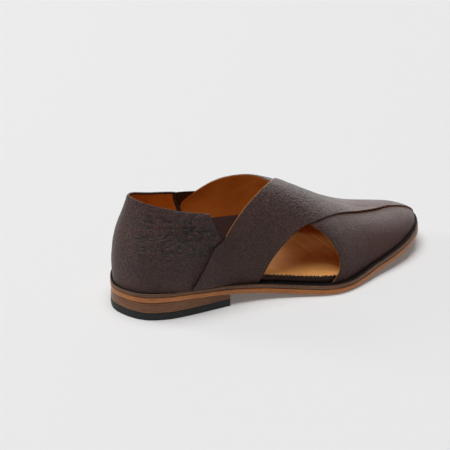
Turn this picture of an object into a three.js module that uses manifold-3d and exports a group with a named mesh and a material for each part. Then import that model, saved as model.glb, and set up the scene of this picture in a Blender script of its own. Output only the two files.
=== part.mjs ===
// Right shoe of a pair of crossover sandals in the peshawari chappal family, in millimetres.
// +X runs toward the toe, +Y to the wearer's left (the inner side of the foot) and +Z up.
// Two broad straps cross over the instep, a closed quarter wraps the heel, and elastic gores
// fill the notches between the quarter and the straps. A welt runs all the way round the sole.

import * as THREE from 'three';
import { mergeVertices } from 'three/addons/utils/BufferGeometryUtils.js';
import Module from 'manifold-3d';

const wasm = await Module();
wasm.setup();

// Plan of the sole
const LENGTH = 288;
const HEEL_WIDTH = 70;
const BALL_WIDTH = 108;
const HEEL_LENGTH = 83.5;

// Height of the sole's lower edge above the floor, and its tread crowned down to the floor
const EDGE_RISE = 1.1;
const SEAT_HEIGHT = 14.1;
const SEAT_SLOPE = 0.1;
const TOE_SPRING = 14;
const TREAD_BACK = 0.605;
const TREAD_FRONT = 0.65;
const SPRING_POWER = 1.25;
const CROWN_SHARE = 1 / 3;
const CROWN_START = 30;

// Layers of the sole, square to its lower face
const GAP = 0.3;
const FEATHER_GAP = 0.45;
const FOOTBED_CLEARANCE = 1;
const FOOTBED_TOE_TRIM = 10;
const LIFT_THICKNESS = 6.1;
const OUTSOLE_THICKNESS = 3.8;
const WELT_THICKNESS = 3.4;
const RAND_THICKNESS = 3.4;
const INSOLE_THICKNESS = 1.4;
const WELT_MARGIN = 4;
const STACK_INSET = 0.4;

// Where the plan widens from the heel to the ball, as shares of the length
const HEEL_END = 0.2;
const BALL_START = 0.6;

// Leather of the upper: levels are heights above the surface of the last
const WALL = 1.6;
const FUSE = 0.5;
const STEP = WALL - FUSE;
const QUARTER_LEVEL = -0.3;
const WAIST_LEVEL = QUARTER_LEVEL + STEP;
const OVER_CLIMB = { from: -0.62, to: -0.48 };
const UNDER_FALL = { from: -0.72, to: -0.5 };
const GORE_THICKNESS = 1;
const GORE_LAP = 0.018;
const SEAM_LAP = 0.012;
const SEAM_START = 0.995;

// Shape of the last
const INSTEP_HEIGHT = 81.5;
const RIDGE_BACK = 25.5;
const RIDGE_FRONT = 36;
const RIDGE_SIDE_BACK = -3.5;
const RIDGE_SIDE_FRONT = 1.5;
const SHOULDER_POWER = 1.1;
const HEEL_BULGE = 3;
const HEEL_FLARE = 4;
const MEDIAL_WAIST_BULGE = 7;
const LATERAL_WAIST_BULGE = 1;

// Shares of the last's length and height between which its bulges swell and fade
const SWELL = {
  heelEnd: 0.35,
  heelTop: 0.62,
  flareEnd: 0.12,
  flareFoot: 0.45,
  flareTop: 0.7,
  waistStart: 0.08,
  waistFull: 0.28,
  waistFade: 0.38,
  waistEnd: 0.58,
};

// How finely curves and surfaces are cut
const CURVE_COUNT = 720;
const CURVE_REACH = 3;
const SOLE_ROWS = 44;
const FOOTBED_ROWS = 36;
const HEEL_ROWS = 14;
const TREAD_COLUMNS = 6;
const STRAP_ROWS = 44;
const STRAP_COLUMNS = 15;
const QUARTER_ROWS = 18;
const QUARTER_COLUMNS = 10;
const GORE_ROWS = 6;
const GORE_COLUMNS = 6;

const WELT_BASE = OUTSOLE_THICKNESS + GAP;
const WELT_TOP = WELT_BASE + WELT_THICKNESS;
const RAND_BASE = WELT_TOP + GAP;
const INSOLE_BASE = RAND_BASE + RAND_THICKNESS + GAP;
const FEATHER_HEIGHT = WELT_TOP + FEATHER_GAP;
const LINING_LEVEL = QUARTER_LEVEL - WALL;
const FOOTBED_INSET = FOOTBED_CLEARANCE - LINING_LEVEL;

// Welt outline: along is a share of LENGTH, the sides are shares of half the local width
const OUTLINE = [
  { along: 0.02, lateral: 0.61, medial: 0.42 },
  { along: 0.05, lateral: 0.88, medial: 0.73 },
  { along: 0.10, lateral: 1.04, medial: 0.88 },
  { along: 0.15, lateral: 1.085, medial: 0.91 },
  { along: 0.20, lateral: 1.09, medial: 0.88 },
  { along: 0.30, lateral: 1, medial: 0.73 },
  { along: 0.40, lateral: 0.93, medial: 0.64 },
  { along: 0.50, lateral: 0.99, medial: 0.68 },
  { along: 0.55, lateral: 1.05, medial: 0.74 },
  { along: 0.60, lateral: 1.085, medial: 0.81 },
  { along: 0.65, lateral: 1.045, medial: 0.88 },
  { along: 0.70, lateral: 0.955, medial: 0.925 },
  { along: 0.75, lateral: 0.85, medial: 0.935 },
  { along: 0.80, lateral: 0.76, medial: 0.905 },
  { along: 0.85, lateral: 0.665, medial: 0.845 },
  { along: 0.90, lateral: 0.535, medial: 0.765 },
  { along: 0.95, lateral: 0.34, medial: 0.62 },
  { along: 0.98, lateral: 0.15, medial: 0.44 },
];
const HEEL_TIP = -0.08;
const TOE_TIP = 0.11;

// Welt outside the feather line: width is a share of WELT_MARGIN, narrow round the heel
const MARGIN = [
  { along: 0, width: 0.42 },
  { along: 0.05, width: 0.38 },
  { along: 0.1, width: 0.22 },
  { along: 0.16, width: 0.04 },
  { along: 0.2, width: 0.04 },
  { along: 0.25, width: 0.3 },
  { along: 0.3, width: 0.78 },
  { along: 0.36, width: 1 },
  { along: 0.5, width: 1.05 },
  { along: 0.7, width: 1.12 },
  { along: 0.82, width: 0.95 },
  { along: 0.92, width: 0.9 },
  { along: 1, width: 0.45 },
];

// Ridge of the last: along is a share of LENGTH, height a share of INSTEP_HEIGHT
const RIDGE = [
  { along: 0.07, height: 1.276 },
  { along: 0.15, height: 1.255 },
  { along: 0.25, height: 1.205 },
  { along: 0.35, height: 1.145 },
  { along: 0.42, height: 1.080 },
  { along: 0.486, height: 1.000 },
  { along: 0.54, height: 0.905 },
  { along: 0.60, height: 0.785 },
  { along: 0.67, height: 0.648 },
  { along: 0.74, height: 0.533 },
  { along: 0.81, height: 0.456 },
  { along: 0.875, height: 0.411 },
  { along: 0.92, height: 0.385 },
];

// How square the last's side walls are, along its length: lower numbers are fuller
const FULLNESS = [
  { along: 0, power: 1.05 },
  { along: 0.15, power: 0.98 },
  { along: 0.30, power: 0.86 },
  { along: 0.42, power: 0.90 },
  { along: 0.60, power: 1.20 },
  { along: 1, power: 1.30 },
];

// Height of the collar up the last on each side, from the back of the heel forward
const COLLAR = [
  { along: 0, lateral: 0.687, medial: 0.687 },
  { along: 0.03, lateral: 0.684, medial: 0.68 },
  { along: 0.078, lateral: 0.669, medial: 0.658 },
  { along: 0.124, lateral: 0.645, medial: 0.628 },
  { along: 0.164, lateral: 0.618, medial: 0.601 },
  { along: 0.231, lateral: 0.578, medial: 0.557 },
  { along: 0.31, lateral: 0.544, medial: 0.517 },
];

// Front edge of the quarter, from the sole up to the collar
const QUARTER_FRONT = [
  { up: 0, along: 0.283 },
  { up: 0.126, along: 0.307 },
  { up: 0.283, along: 0.341 },
  { up: 0.34, along: 0.339 },
  { up: 0.447, along: 0.323 },
  { up: 0.544, along: 0.31 },
];

// Edges of the straps, from the sole at the waist, over the instep, to the sole at the far
// side of the toe. Across is -1 at the sole on the strap's own side, 0 on the ridge and 1 at
// the sole on the far side. Along 1 is the line from the ridge's front end to the toe tip.
const OVER_STRAP = [
  { back: 0.262, backAcross: -1, front: 0.42, frontAcross: -1 },
  { back: 0.297, backAcross: -0.82, front: 0.445, frontAcross: -0.81 },
  { back: 0.319, backAcross: -0.71, front: 0.475, frontAcross: -0.668 },
  { back: 0.341, backAcross: -0.662, front: 0.49, frontAcross: -0.615 },
  { back: 0.362, backAcross: -0.575, front: 0.508, frontAcross: -0.558 },
  { back: 0.396, backAcross: -0.43, front: 0.548, frontAcross: -0.473 },
  { back: 0.443, backAcross: -0.245, front: 0.62, frontAcross: -0.368 },
  { back: 0.506, backAcross: 0, front: 0.76, frontAcross: -0.235 },
  { back: 0.519, backAcross: 0.22, front: 0.9, frontAcross: -0.12 },
  { back: 0.53, backAcross: 0.48, front: 1, frontAcross: 0.1 },
  { back: 0.553, backAcross: 0.58, front: 1, frontAcross: 0.4 },
  { back: 0.572, backAcross: 0.72, front: 1, frontAcross: 0.62 },
  { back: 0.572, backAcross: 0.86, front: 1, frontAcross: 0.82 },
  { back: 0.556, backAcross: 1, front: 1, frontAcross: 1 },
];
const UNDER_STRAP = [
  { back: 0.262, backAcross: -1, front: 0.42, frontAcross: -1 },
  { back: 0.297, backAcross: -0.82, front: 0.46, frontAcross: -0.8 },
  { back: 0.326, backAcross: -0.65, front: 0.5, frontAcross: -0.7 },
  { back: 0.362, backAcross: -0.48, front: 0.545, frontAcross: -0.62 },
  { back: 0.398, backAcross: -0.325, front: 0.6, frontAcross: -0.5 },
  { back: 0.44, backAcross: -0.19, front: 0.68, frontAcross: -0.33 },
  { back: 0.475, backAcross: 0, front: 0.79, frontAcross: -0.13 },
  { back: 0.502, backAcross: 0.25, front: 0.93, frontAcross: 0 },
  { back: 0.53, backAcross: 0.505, front: 1, frontAcross: 0.1 },
  { back: 0.555, backAcross: 0.585, front: 1, frontAcross: 0.4 },
  { back: 0.571, backAcross: 0.72, front: 1, frontAcross: 0.62 },
  { back: 0.571, backAcross: 0.86, front: 1, frontAcross: 0.82 },
  { back: 0.553, backAcross: 1, front: 1, frontAcross: 1 },
];

// Upper end of the gore, between the quarter's front edge and the strap's back edge
const GORE_BOTTOM = 0.25;
const GORE_TOP = 0.515;

const { clamp, lerp, smoothstep } = THREE.MathUtils;

// Smooth value of one column of a table, at a place in another column
function look(rows, keyName, valueName, key) {
  const last = rows.length - 1;
  const place = clamp(key, rows[0][keyName], rows[last][keyName]);
  let i = 0;
  while (i < last - 1 && place > rows[i + 1][keyName]) {
    i += 1;
  }
  const slope = (a, b) => (rows[b][valueName] - rows[a][valueName]) / (rows[b][keyName] - rows[a][keyName]);
  const span = rows[i + 1][keyName] - rows[i][keyName];
  const t = (place - rows[i][keyName]) / span;
  const startSlope = slope(Math.max(i - 1, 0), i + 1) * span;
  const endSlope = slope(i, Math.min(i + 2, last)) * span;
  const start = rows[i][valueName];
  const end = rows[i + 1][valueName];
  return start * (2 * t ** 3 - 3 * t ** 2 + 1) + startSlope * (t ** 3 - 2 * t ** 2 + t)
    + end * (3 * t ** 2 - 2 * t ** 3) + endSlope * (t ** 3 - t ** 2);
}

// Height of the outsole's lower edge above the floor
function soleRise(x) {
  const back = TREAD_BACK * LENGTH;
  const front = TREAD_FRONT * LENGTH;
  if (x < back) {
    const t = x / back;
    const drop = (SEAT_HEIGHT - EDGE_RISE) * (2 * t ** 3 - 3 * t ** 2 + 1);
    return EDGE_RISE + drop + SEAT_SLOPE * back * (t ** 3 - 2 * t ** 2 + t);
  }
  return EDGE_RISE + TOE_SPRING * Math.max(0, (x - front) / (LENGTH - front)) ** SPRING_POWER;
}

// Point at a height square to the plane between the outsole's lower edges
function solePoint(x, y, height) {
  const probe = 0.5;
  const slope = (soleRise(x + probe) - soleRise(x - probe)) / (2 * probe);
  const scale = height / Math.hypot(1, slope);
  return new THREE.Vector3(x - slope * scale, y, soleRise(x) + scale);
}

// Closed plan curve through the outline table
function weltCurve() {
  const halfWidth = (along) => lerp(HEEL_WIDTH, BALL_WIDTH, smoothstep(along, HEEL_END, BALL_START)) / 2;
  const side = (row, name, sign) => new THREE.Vector3(
    row.along * LENGTH, sign * row[name] * halfWidth(row.along), 0);
  const points = [new THREE.Vector3(0, HEEL_TIP * HEEL_WIDTH / 2, 0)];
  points.push(...OUTLINE.map((row) => side(row, 'lateral', -1)));
  points.push(new THREE.Vector3(LENGTH, TOE_TIP * BALL_WIDTH / 2, 0));
  points.push(...OUTLINE.map((row) => side(row, 'medial', 1)).reverse());
  return new THREE.CatmullRomCurve3(points, true, 'centripetal').getPoints(CURVE_COUNT).slice(0, -1);
}

const WELT_CURVE = weltCurve();

// An inset of the welt outline that keeps its distance from the feather line
const fromFeather = (inset) => (x) => WELT_MARGIN * look(MARGIN, 'along', 'width', x / LENGTH) + inset;

// The welt outline moved inward, split at its ends into a lateral and a medial half. The inset
// is a function of the distance from the heel's back.
function insetHalves(insetAt) {
  const count = WELT_CURVE.length;
  const reach = CURVE_REACH;
  const moved = WELT_CURVE.map((point, i) => {
    const ahead = WELT_CURVE[(i + reach) % count];
    const behind = WELT_CURVE[(i + count - reach) % count];
    const inward = new THREE.Vector3(behind.y - ahead.y, ahead.x - behind.x, 0).normalize();
    return point.clone().addScaledVector(inward, insetAt(point.x));
  });
  const xs = moved.map((point) => point.x);
  const heel = xs.indexOf(Math.min(...xs));
  const toe = xs.indexOf(Math.max(...xs));
  const walk = (from, to, step) => {
    const half = [moved[from]];
    for (let i = from; i !== to; i = (i + step + count) % count) {
      half.push(moved[(i + step + count) % count]);
    }
    return half;
  };
  return {
    heelX: moved[heel].x,
    toeX: moved[toe].x,
    lateral: walk(heel, toe, 1),
    medial: walk(heel, toe, -1),
  };
}

// Sideways place of one half of an outline at a distance from the heel
function sideAt(half, x) {
  let i = 0;
  while (i < half.length - 2 && half[i + 1].x < x) {
    i += 1;
  }
  const t = clamp((x - half[i].x) / (half[i + 1].x - half[i].x || 1), 0, 1);
  return lerp(half[i].y, half[i + 1].y, t);
}

// Distance along the foot, with stations that crowd toward both ends
function station(halves, share) {
  return lerp(halves.heelX, halves.toeX, (1 - Math.cos(Math.PI * share)) / 2);
}

const FEATHER = insetHalves(fromFeather(0));

// Point on the last. Along runs from the heel's back (0) to the toe tip (1), and up from the
// feather line (0) to the ridge (1), on the side whose sign is given (-1 lateral, 1 medial).
function lastPoint(side, along, up) {
  const x = station(FEATHER, along);
  const share = (x - FEATHER.heelX) / (FEATHER.toeX - FEATHER.heelX);
  const half = side < 0 ? FEATHER.lateral : FEATHER.medial;
  const foot = solePoint(x, sideAt(half, x), FEATHER_HEIGHT);
  const ridgeX = lerp(RIDGE_BACK, LENGTH - RIDGE_FRONT, share);
  const ridgeY = lerp(RIDGE_SIDE_BACK, RIDGE_SIDE_FRONT, share);
  const ridgeZ = EDGE_RISE + INSTEP_HEIGHT * look(RIDGE, 'along', 'height', ridgeX / LENGTH);
  const turn = up * Math.PI / 2;
  const inward = 1 - Math.max(Math.cos(turn), 0) ** look(FULLNESS, 'along', 'power', share);
  const upward = Math.sin(turn) ** SHOULDER_POWER;
  const heel = Math.max(0, 1 - share / SWELL.heelEnd) * Math.sin(Math.PI * Math.min(up / SWELL.heelTop, 1));
  const flare = (1 - smoothstep(share, 0, SWELL.flareEnd)) * smoothstep(up, SWELL.flareFoot, SWELL.flareTop);
  const waist = smoothstep(share, SWELL.waistStart, SWELL.waistFull)
    * (1 - smoothstep(share, SWELL.waistFade, SWELL.waistEnd)) * Math.sin(Math.PI * up);
  const bulge = HEEL_BULGE * heel + HEEL_FLARE * flare
    + (side < 0 ? LATERAL_WAIST_BULGE : MEDIAL_WAIST_BULGE) * waist;
  const out = new THREE.Vector3(foot.x - ridgeX, foot.y - ridgeY, 0).normalize();
  const point = new THREE.Vector3(
    lerp(foot.x, ridgeX, inward), lerp(foot.y, ridgeY, inward), lerp(foot.z, ridgeZ, upward));
  return point.addScaledVector(out, bulge);
}

// Point on the last with both sides in one chart: across is -1 at the lateral feather line, 0
// on the ridge and 1 at the medial one. Past either end the chart folds to the other side.
function chartPoint(along, across) {
  let place = along;
  let side = across;
  if (place > 1) {
    place = 2 - place;
    side = -side;
  }
  if (place < 0) {
    place = -place;
    side = -side;
  }
  return lastPoint(side < 0 ? -1 : 1, place, 1 - Math.min(Math.abs(side), 1));
}

// Point of the chart moved square to the last by a level
function levelPoint(along, across, level) {
  const probe = 0.004;
  const lower = Math.max(across - probe, -1);
  const upper = Math.min(across + probe, 1);
  const forward = chartPoint(along + probe, across).sub(chartPoint(along - probe, across));
  const sideways = chartPoint(along, upper).sub(chartPoint(along, lower));
  const outward = forward.cross(sideways).normalize();
  return chartPoint(along, across).addScaledVector(outward, level);
}

// Closed mesh between two grids of points that share their rows and columns
function closedGrid(upper, lower) {
  const rows = upper.length;
  const columns = upper[0].length;
  const positions = [...upper, ...lower].flat().flatMap((point) => point.toArray());
  const top = (i, j) => i * columns + j;
  const bottom = (i, j) => (rows + i) * columns + j;
  const indices = [];
  const quad = (a, b, c, d) => indices.push(a, b, c, a, c, d);
  for (let i = 0; i < rows - 1; i += 1) {
    for (let j = 0; j < columns - 1; j += 1) {
      quad(top(i, j), top(i + 1, j), top(i + 1, j + 1), top(i, j + 1));
      quad(bottom(i, j), bottom(i, j + 1), bottom(i + 1, j + 1), bottom(i + 1, j));
    }
  }
  for (let i = 0; i < rows - 1; i += 1) {
    quad(top(i, 0), bottom(i, 0), bottom(i + 1, 0), top(i + 1, 0));
    quad(top(i + 1, columns - 1), bottom(i + 1, columns - 1), bottom(i, columns - 1), top(i, columns - 1));
  }
  for (let j = 0; j < columns - 1; j += 1) {
    quad(top(0, j + 1), bottom(0, j + 1), bottom(0, j), top(0, j));
    quad(top(rows - 1, j), bottom(rows - 1, j), bottom(rows - 1, j + 1), top(rows - 1, j + 1));
  }
  const geometry = new THREE.BufferGeometry();
  geometry.setAttribute('position', new THREE.Float32BufferAttribute(positions, 3));
  geometry.setIndex(indices);
  return tidy(geometry);
}

// Merges equal corners, drops triangles without area and turns the faces outward
function tidy(geometry) {
  const merged = mergeVertices(geometry, 1e-3);
  const place = (i) => new THREE.Vector3().fromBufferAttribute(merged.getAttribute('position'), i);
  const kept = [];
  let volume = 0;
  const index = merged.index.array;
  for (let i = 0; i < index.length; i += 3) {
    const [a, b, c] = [index[i], index[i + 1], index[i + 2]];
    if (a !== b && b !== c && c !== a) {
      kept.push(a, b, c);
      volume += place(a).dot(place(b).cross(place(c)));
    }
  }
  if (volume < 0) {
    kept.reverse();
  }
  merged.setIndex(kept);
  return merged;
}

function toSolid(geometry) {
  return new wasm.Manifold(new wasm.Mesh({
    numProp: 3,
    vertProperties: geometry.getAttribute('position').array,
    triVerts: new Uint32Array(geometry.index.array),
  }));
}

function toGeometry(solid) {
  const mesh = solid.getMesh();
  const geometry = new THREE.BufferGeometry();
  geometry.setAttribute('position', new THREE.BufferAttribute(mesh.vertProperties, 3));
  geometry.setIndex(new THREE.BufferAttribute(mesh.triVerts, 1));
  return geometry;
}

// Slab of the sole between two heights, each a function of the place in plan
function slab({ insetAt, lower, upper, end = 1, toeTrim = 0, rows, columns = 1 }) {
  const halves = insetHalves(insetAt);
  const grid = (place) => Array.from({ length: rows + 1 }, (_, i) => {
    const x = station(halves, end * i / rows);
    const lateral = sideAt(halves.lateral, x);
    const medial = sideAt(halves.medial, x);
    const trimmed = x - toeTrim * smoothstep(x, TREAD_FRONT * LENGTH, LENGTH);
    return Array.from({ length: columns + 1 }, (_, j) => {
      return place(trimmed, lerp(lateral, medial, j / columns), j / columns);
    });
  });
  return closedGrid(grid(upper), grid(lower));
}

const atHeight = (height) => (x, y) => solePoint(x, y, height);

// Point of the tread: between its raised edges it's crowned down by the rise of the edge
function treadPoint(x, y, across) {
  const crown = smoothstep(Math.min(across, 1 - across), 0, CROWN_SHARE)
    * smoothstep(x, HEEL_LENGTH, HEEL_LENGTH + CROWN_START);
  return new THREE.Vector3(x, y, soleRise(x) - EDGE_RISE * crown);
}

// Piece under the heel seat, cut off square at the heel breast
function heelPiece(lower, upper) {
  const insetAt = () => STACK_INSET;
  const halves = insetHalves(insetAt);
  const share = (HEEL_LENGTH - halves.heelX) / (halves.toeX - halves.heelX);
  const end = Math.acos(1 - 2 * share) / Math.PI;
  return slab({ insetAt, lower, upper, end, rows: HEEL_ROWS });
}

// Leather between the two edges of a strap: side -1 starts at the lateral waist, 1 at the medial
function strap(table, side, levelAt) {
  const rows = STRAP_ROWS;
  const columns = STRAP_COLUMNS;
  const edge = (along, across) => new THREE.CatmullRomCurve3(
    table.map((row) => new THREE.Vector3(row[along], row[across], 0)), false, 'centripetal');
  const back = edge('back', 'backAcross');
  const front = edge('front', 'frontAcross');
  const grid = (drop) => Array.from({ length: rows + 1 }, (_, i) => {
    const from = back.getPoint(i / rows);
    const to = front.getPoint(i / rows);
    to.x = to.x > SEAM_START ? 1 + SEAM_LAP : to.x;
    return Array.from({ length: columns + 1 }, (_, j) => {
      const along = lerp(from.x, to.x, j / columns);
      const across = clamp(lerp(from.y, to.y, j / columns), -1, 1);
      return levelPoint(along, -side * across, levelAt(across) - drop);
    });
  });
  return closedGrid(grid(0), grid(WALL));
}

// Heel quarter, from its front edge on one side round the heel to the other
function quarter() {
  const rows = QUARTER_ROWS;
  const columns = QUARTER_COLUMNS;
  const reach = COLLAR[COLLAR.length - 1].along;
  const grid = (level) => Array.from({ length: 2 * rows + 1 }, (_, i) => {
    const turn = (i - rows) / rows;
    const top = look(COLLAR, 'along', turn < 0 ? 'lateral' : 'medial', Math.abs(turn) * reach);
    return Array.from({ length: columns + 1 }, (_, j) => {
      const up = top * j / columns;
      const along = Math.abs(turn) * look(QUARTER_FRONT, 'up', 'along', up);
      const across = (turn < 0 ? -1 : 1) * (1 - up);
      return levelPoint(along, across, level);
    });
  });
  return closedGrid(grid(QUARTER_LEVEL), grid(LINING_LEVEL));
}

// Elastic gore behind the notch between the quarter and the strap
function gore(side, table) {
  const rows = GORE_ROWS;
  const columns = GORE_COLUMNS;
  const climb = table.filter((row) => row.backAcross < 0 && row.back < row.front);
  const back = climb.map((row) => ({ up: 1 + row.backAcross, along: row.back }));
  const grid = (level) => Array.from({ length: rows + 1 }, (_, i) => {
    const up = lerp(GORE_BOTTOM, GORE_TOP, i / rows);
    const from = look(QUARTER_FRONT, 'up', 'along', up) - GORE_LAP;
    const to = look(back, 'up', 'along', up) + GORE_LAP;
    return Array.from({ length: columns + 1 }, (_, j) => {
      return levelPoint(lerp(from, to, j / columns), side * (1 - up), level);
    });
  });
  return closedGrid(grid(LINING_LEVEL - GAP), grid(LINING_LEVEL - GAP - GORE_THICKNESS));
}

// Between its waist and the instep the lateral strap climbs on to the medial one, which falls
function overLevel(across) {
  return lerp(WAIST_LEVEL, STEP, smoothstep(across, OVER_CLIMB.from, OVER_CLIMB.to));
}

function underLevel(across) {
  return WAIST_LEVEL * (1 - smoothstep(across, UNDER_FALL.from, UNDER_FALL.to));
}

function upper() {
  const pieces = [
    quarter(),
    strap(OVER_STRAP, -1, overLevel),
    strap(UNDER_STRAP, 1, underLevel),
  ];
  return toGeometry(wasm.Manifold.union(pieces.map(toSolid)));
}

const FINISHES = {
  leather: { color: 0x3d2e2b, roughness: 0.5, metalness: 0 },
  elastic: { color: 0x35150f, roughness: 0.75, metalness: 0 },
  lining: { color: 0xb87a42, roughness: 0.6, metalness: 0 },
  rand: { color: 0x24140f, roughness: 0.6, metalness: 0 },
  welt: { color: 0x5a3620, roughness: 0.5, metalness: 0 },
  outsole: { color: 0xa9683c, roughness: 0.5, metalness: 0 },
  stack: { color: 0x8a5a3c, roughness: 0.55, metalness: 0 },
  rubber: { color: 0x1c1c1c, roughness: 0.8, metalness: 0 },
};

const shoe = new THREE.Group();

function add(name, geometry, finish) {
  const mesh = new THREE.Mesh(geometry, new THREE.MeshStandardMaterial(FINISHES[finish]));
  mesh.name = name;
  shoe.add(mesh);
}

const floor = (x, y) => new THREE.Vector3(x, y, 0);
const liftTop = (x, y) => new THREE.Vector3(x, y, LIFT_THICKNESS);
const stackBase = (x, y) => new THREE.Vector3(x, y, LIFT_THICKNESS + GAP);
const stackTop = (x, y) => new THREE.Vector3(x, y, soleRise(x) - GAP);

const atEdge = () => 0;
const bed = { insetAt: fromFeather(FOOTBED_INSET), toeTrim: FOOTBED_TOE_TRIM, rows: FOOTBED_ROWS };

add('top_lift', heelPiece(floor, liftTop), 'rubber');
add('heel_stack', heelPiece(stackBase, stackTop), 'stack');
add('outsole', slab({
  insetAt: atEdge,
  lower: treadPoint,
  upper: atHeight(OUTSOLE_THICKNESS),
  rows: SOLE_ROWS,
  columns: TREAD_COLUMNS,
}), 'outsole');
add('welt', slab({
  insetAt: atEdge,
  lower: atHeight(WELT_BASE),
  upper: atHeight(WELT_TOP),
  rows: SOLE_ROWS,
}), 'welt');
add('rand', slab({ ...bed, lower: atHeight(RAND_BASE), upper: atHeight(RAND_BASE + RAND_THICKNESS) }), 'rand');
add('insole', slab({
  ...bed,
  lower: atHeight(INSOLE_BASE),
  upper: atHeight(INSOLE_BASE + INSOLE_THICKNESS),
}), 'lining');
add('upper', upper(), 'leather');
add('gore_lateral', gore(-1, OVER_STRAP), 'elastic');
add('gore_medial', gore(1, UNDER_STRAP), 'elastic');

// Rests on the floor with the middle of its plan over the origin
const bounds = new THREE.Box3().setFromObject(shoe);
const middle = bounds.getCenter(new THREE.Vector3());
shoe.position.set(-middle.x, -middle.y, -bounds.min.z);
shoe.updateMatrixWorld(true);

export default shoe;
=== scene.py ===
"""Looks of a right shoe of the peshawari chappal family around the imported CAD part.

Shapes are worked out in millimetres from the back of the heel, +X to the toe, +Y to the inner side of
the foot and +Z up, with the sizes of the CAD source. They are moved into the row frame, in metres.
"""
import math

import bmesh
import bpy
import numpy as np
from mathutils import Matrix, Vector


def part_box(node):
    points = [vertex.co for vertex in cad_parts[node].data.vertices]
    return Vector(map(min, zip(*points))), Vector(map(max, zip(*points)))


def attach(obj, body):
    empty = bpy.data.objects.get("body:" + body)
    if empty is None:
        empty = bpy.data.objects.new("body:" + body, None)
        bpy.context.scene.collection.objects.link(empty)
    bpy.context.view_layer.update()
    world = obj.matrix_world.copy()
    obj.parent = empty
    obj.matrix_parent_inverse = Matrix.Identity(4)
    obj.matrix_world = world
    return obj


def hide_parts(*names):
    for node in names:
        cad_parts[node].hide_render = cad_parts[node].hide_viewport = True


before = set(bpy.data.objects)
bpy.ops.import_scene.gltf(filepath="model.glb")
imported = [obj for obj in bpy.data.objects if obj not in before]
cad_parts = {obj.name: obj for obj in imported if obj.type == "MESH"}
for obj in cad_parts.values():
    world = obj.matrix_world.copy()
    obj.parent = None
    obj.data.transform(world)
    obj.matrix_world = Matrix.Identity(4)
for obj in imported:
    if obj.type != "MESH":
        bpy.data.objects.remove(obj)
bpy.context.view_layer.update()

# Sole of the CAD source
LENGTH = 288.0
HEEL_WIDTH = 70.0
BALL_WIDTH = 108.0
HEEL_END = 0.2
BALL_START = 0.6
HEEL_LENGTH = 83.5
SEAT_HEIGHT = 14.1
EDGE_RISE = 1.1
SEAT_SLOPE = 0.1
TOE_SPRING = 14.0
TREAD_BACK = 0.605
TREAD_FRONT = 0.65
SPRING_POWER = 1.25
CROWN_SHARE = 1 / 3
CROWN_START = 30.0
LIFT_THICKNESS = 6.1
OUTSOLE_THICKNESS = 3.8
GAP = 0.3
WELT_THICKNESS = 3.4
RAND_THICKNESS = 3.4
INSOLE_THICKNESS = 1.4
WELT_MARGIN = 4.0
STACK_INSET = 0.4
FOOTBED_INSET = 2.9
FOOTBED_TOE_TRIM = 10.0
WELT_BASE = OUTSOLE_THICKNESS + GAP
WELT_TOP = WELT_BASE + WELT_THICKNESS
INSOLE_BASE = WELT_TOP + GAP + RAND_THICKNESS + GAP
INSOLE_TOP = INSOLE_BASE + INSOLE_THICKNESS

# Last of the CAD source, which comes closer to the welt here
FEATHER_GAP = 0.12
FEATHER_HEIGHT = WELT_TOP + FEATHER_GAP
INSTEP_HEIGHT = 81.5
RIDGE_BACK = 25.5
RIDGE_FRONT = 36.0
RIDGE_SIDE_BACK = -3.5
RIDGE_SIDE_FRONT = 1.5
SHOULDER_POWER = 1.1
HEEL_BULGE = 3.0
HEEL_FLARE = 4.0
MEDIAL_WAIST_BULGE = 7.0
LATERAL_WAIST_BULGE = 1.0

# Shares of the last's length and height between which its bulges swell and fade
HEEL_BULGE_END = 0.35
HEEL_BULGE_TOP = 0.62
FLARE_END = 0.12
FLARE_HEIGHTS = (0.45, 0.7)
WAIST_SWELL = (0.08, 0.28)
WAIST_FADE = (0.38, 0.58)

# Levels of the leather over the last, and thicknesses
QUARTER_LEVEL = -0.3
WAIST_LEVEL = 0.88
OVER_LEVEL = 1.22
LEATHER = 0.62
LINING = 0.5
QUARTER_LINING = 0.8
LINING_GAP = 0.02
GORE_QUARTER_LEVEL = -1.05
GORE_STRAP_LEVEL = 0.0
GORE_THICKNESS = 0.45

# Places across a strap between which it changes level, from its own waist to the far side
OVER_CLIMB = (-0.62, -0.48)
UNDER_FALL = (-0.72, -0.5)

# Hems of the straps' linings: how far each is short of its leather or proud of it, and the
# places across the strap between which that changes
BACK_PROUD = 0.55
BACK_SHORT = 1.2
FRONT_SHORT = 0.6
FRONT_PROUD = 0.55
SEAM_PROUD = 0.3
BACK_TURN = (-0.68, -0.62)
BACK_FADE = (0.1, 0.4)
OVER_FRONT_TURN = (-0.36, -0.2)
UNDER_FRONT_FADE = (-0.3, -0.15)

# Hem folded over the quarter's collar, and the widths between which its step fades
COLLAR_HEM = 2.1
HEM_FADE = (COLLAR_HEM + 0.2, COLLAR_HEM + 0.7)

# Seam of the vamp and laps of the straps and gores, as shares along the last
SEAM_START = 0.995
SEAM_LAP = 0.012
GORE_LAP = 0.007
GORE_BOTTOM = 0.25
GORE_TOP = 0.515
GORE_HEIGHT = 30
GORE_EDGE_START = -0.2

# Height of the quarter's side in millimetres, from its foot to the collar
QUARTER_HEIGHT = 62.0

# The quarter's front edge shows through the strap over it: height, edge, top and strap's reach
SHOW_THROUGH = 0.4
SHOW_THROUGH_EDGE = (-0.003, 0.005)
SHOW_THROUGH_TOP = (0.33, 0.37)
WAIST_REACH = -0.6

# Free edge of the over strap: how far it stands proud, the width that it fades over, and the
# shares of the strap's length between which it rises and falls
VAMP_LIFT = 0.9
VAMP_LIFT_WIDTH = 5.0
VAMP_LIFT_START = (0.44, 0.54)
VAMP_LIFT_END = (0.66, 0.76)

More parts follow.
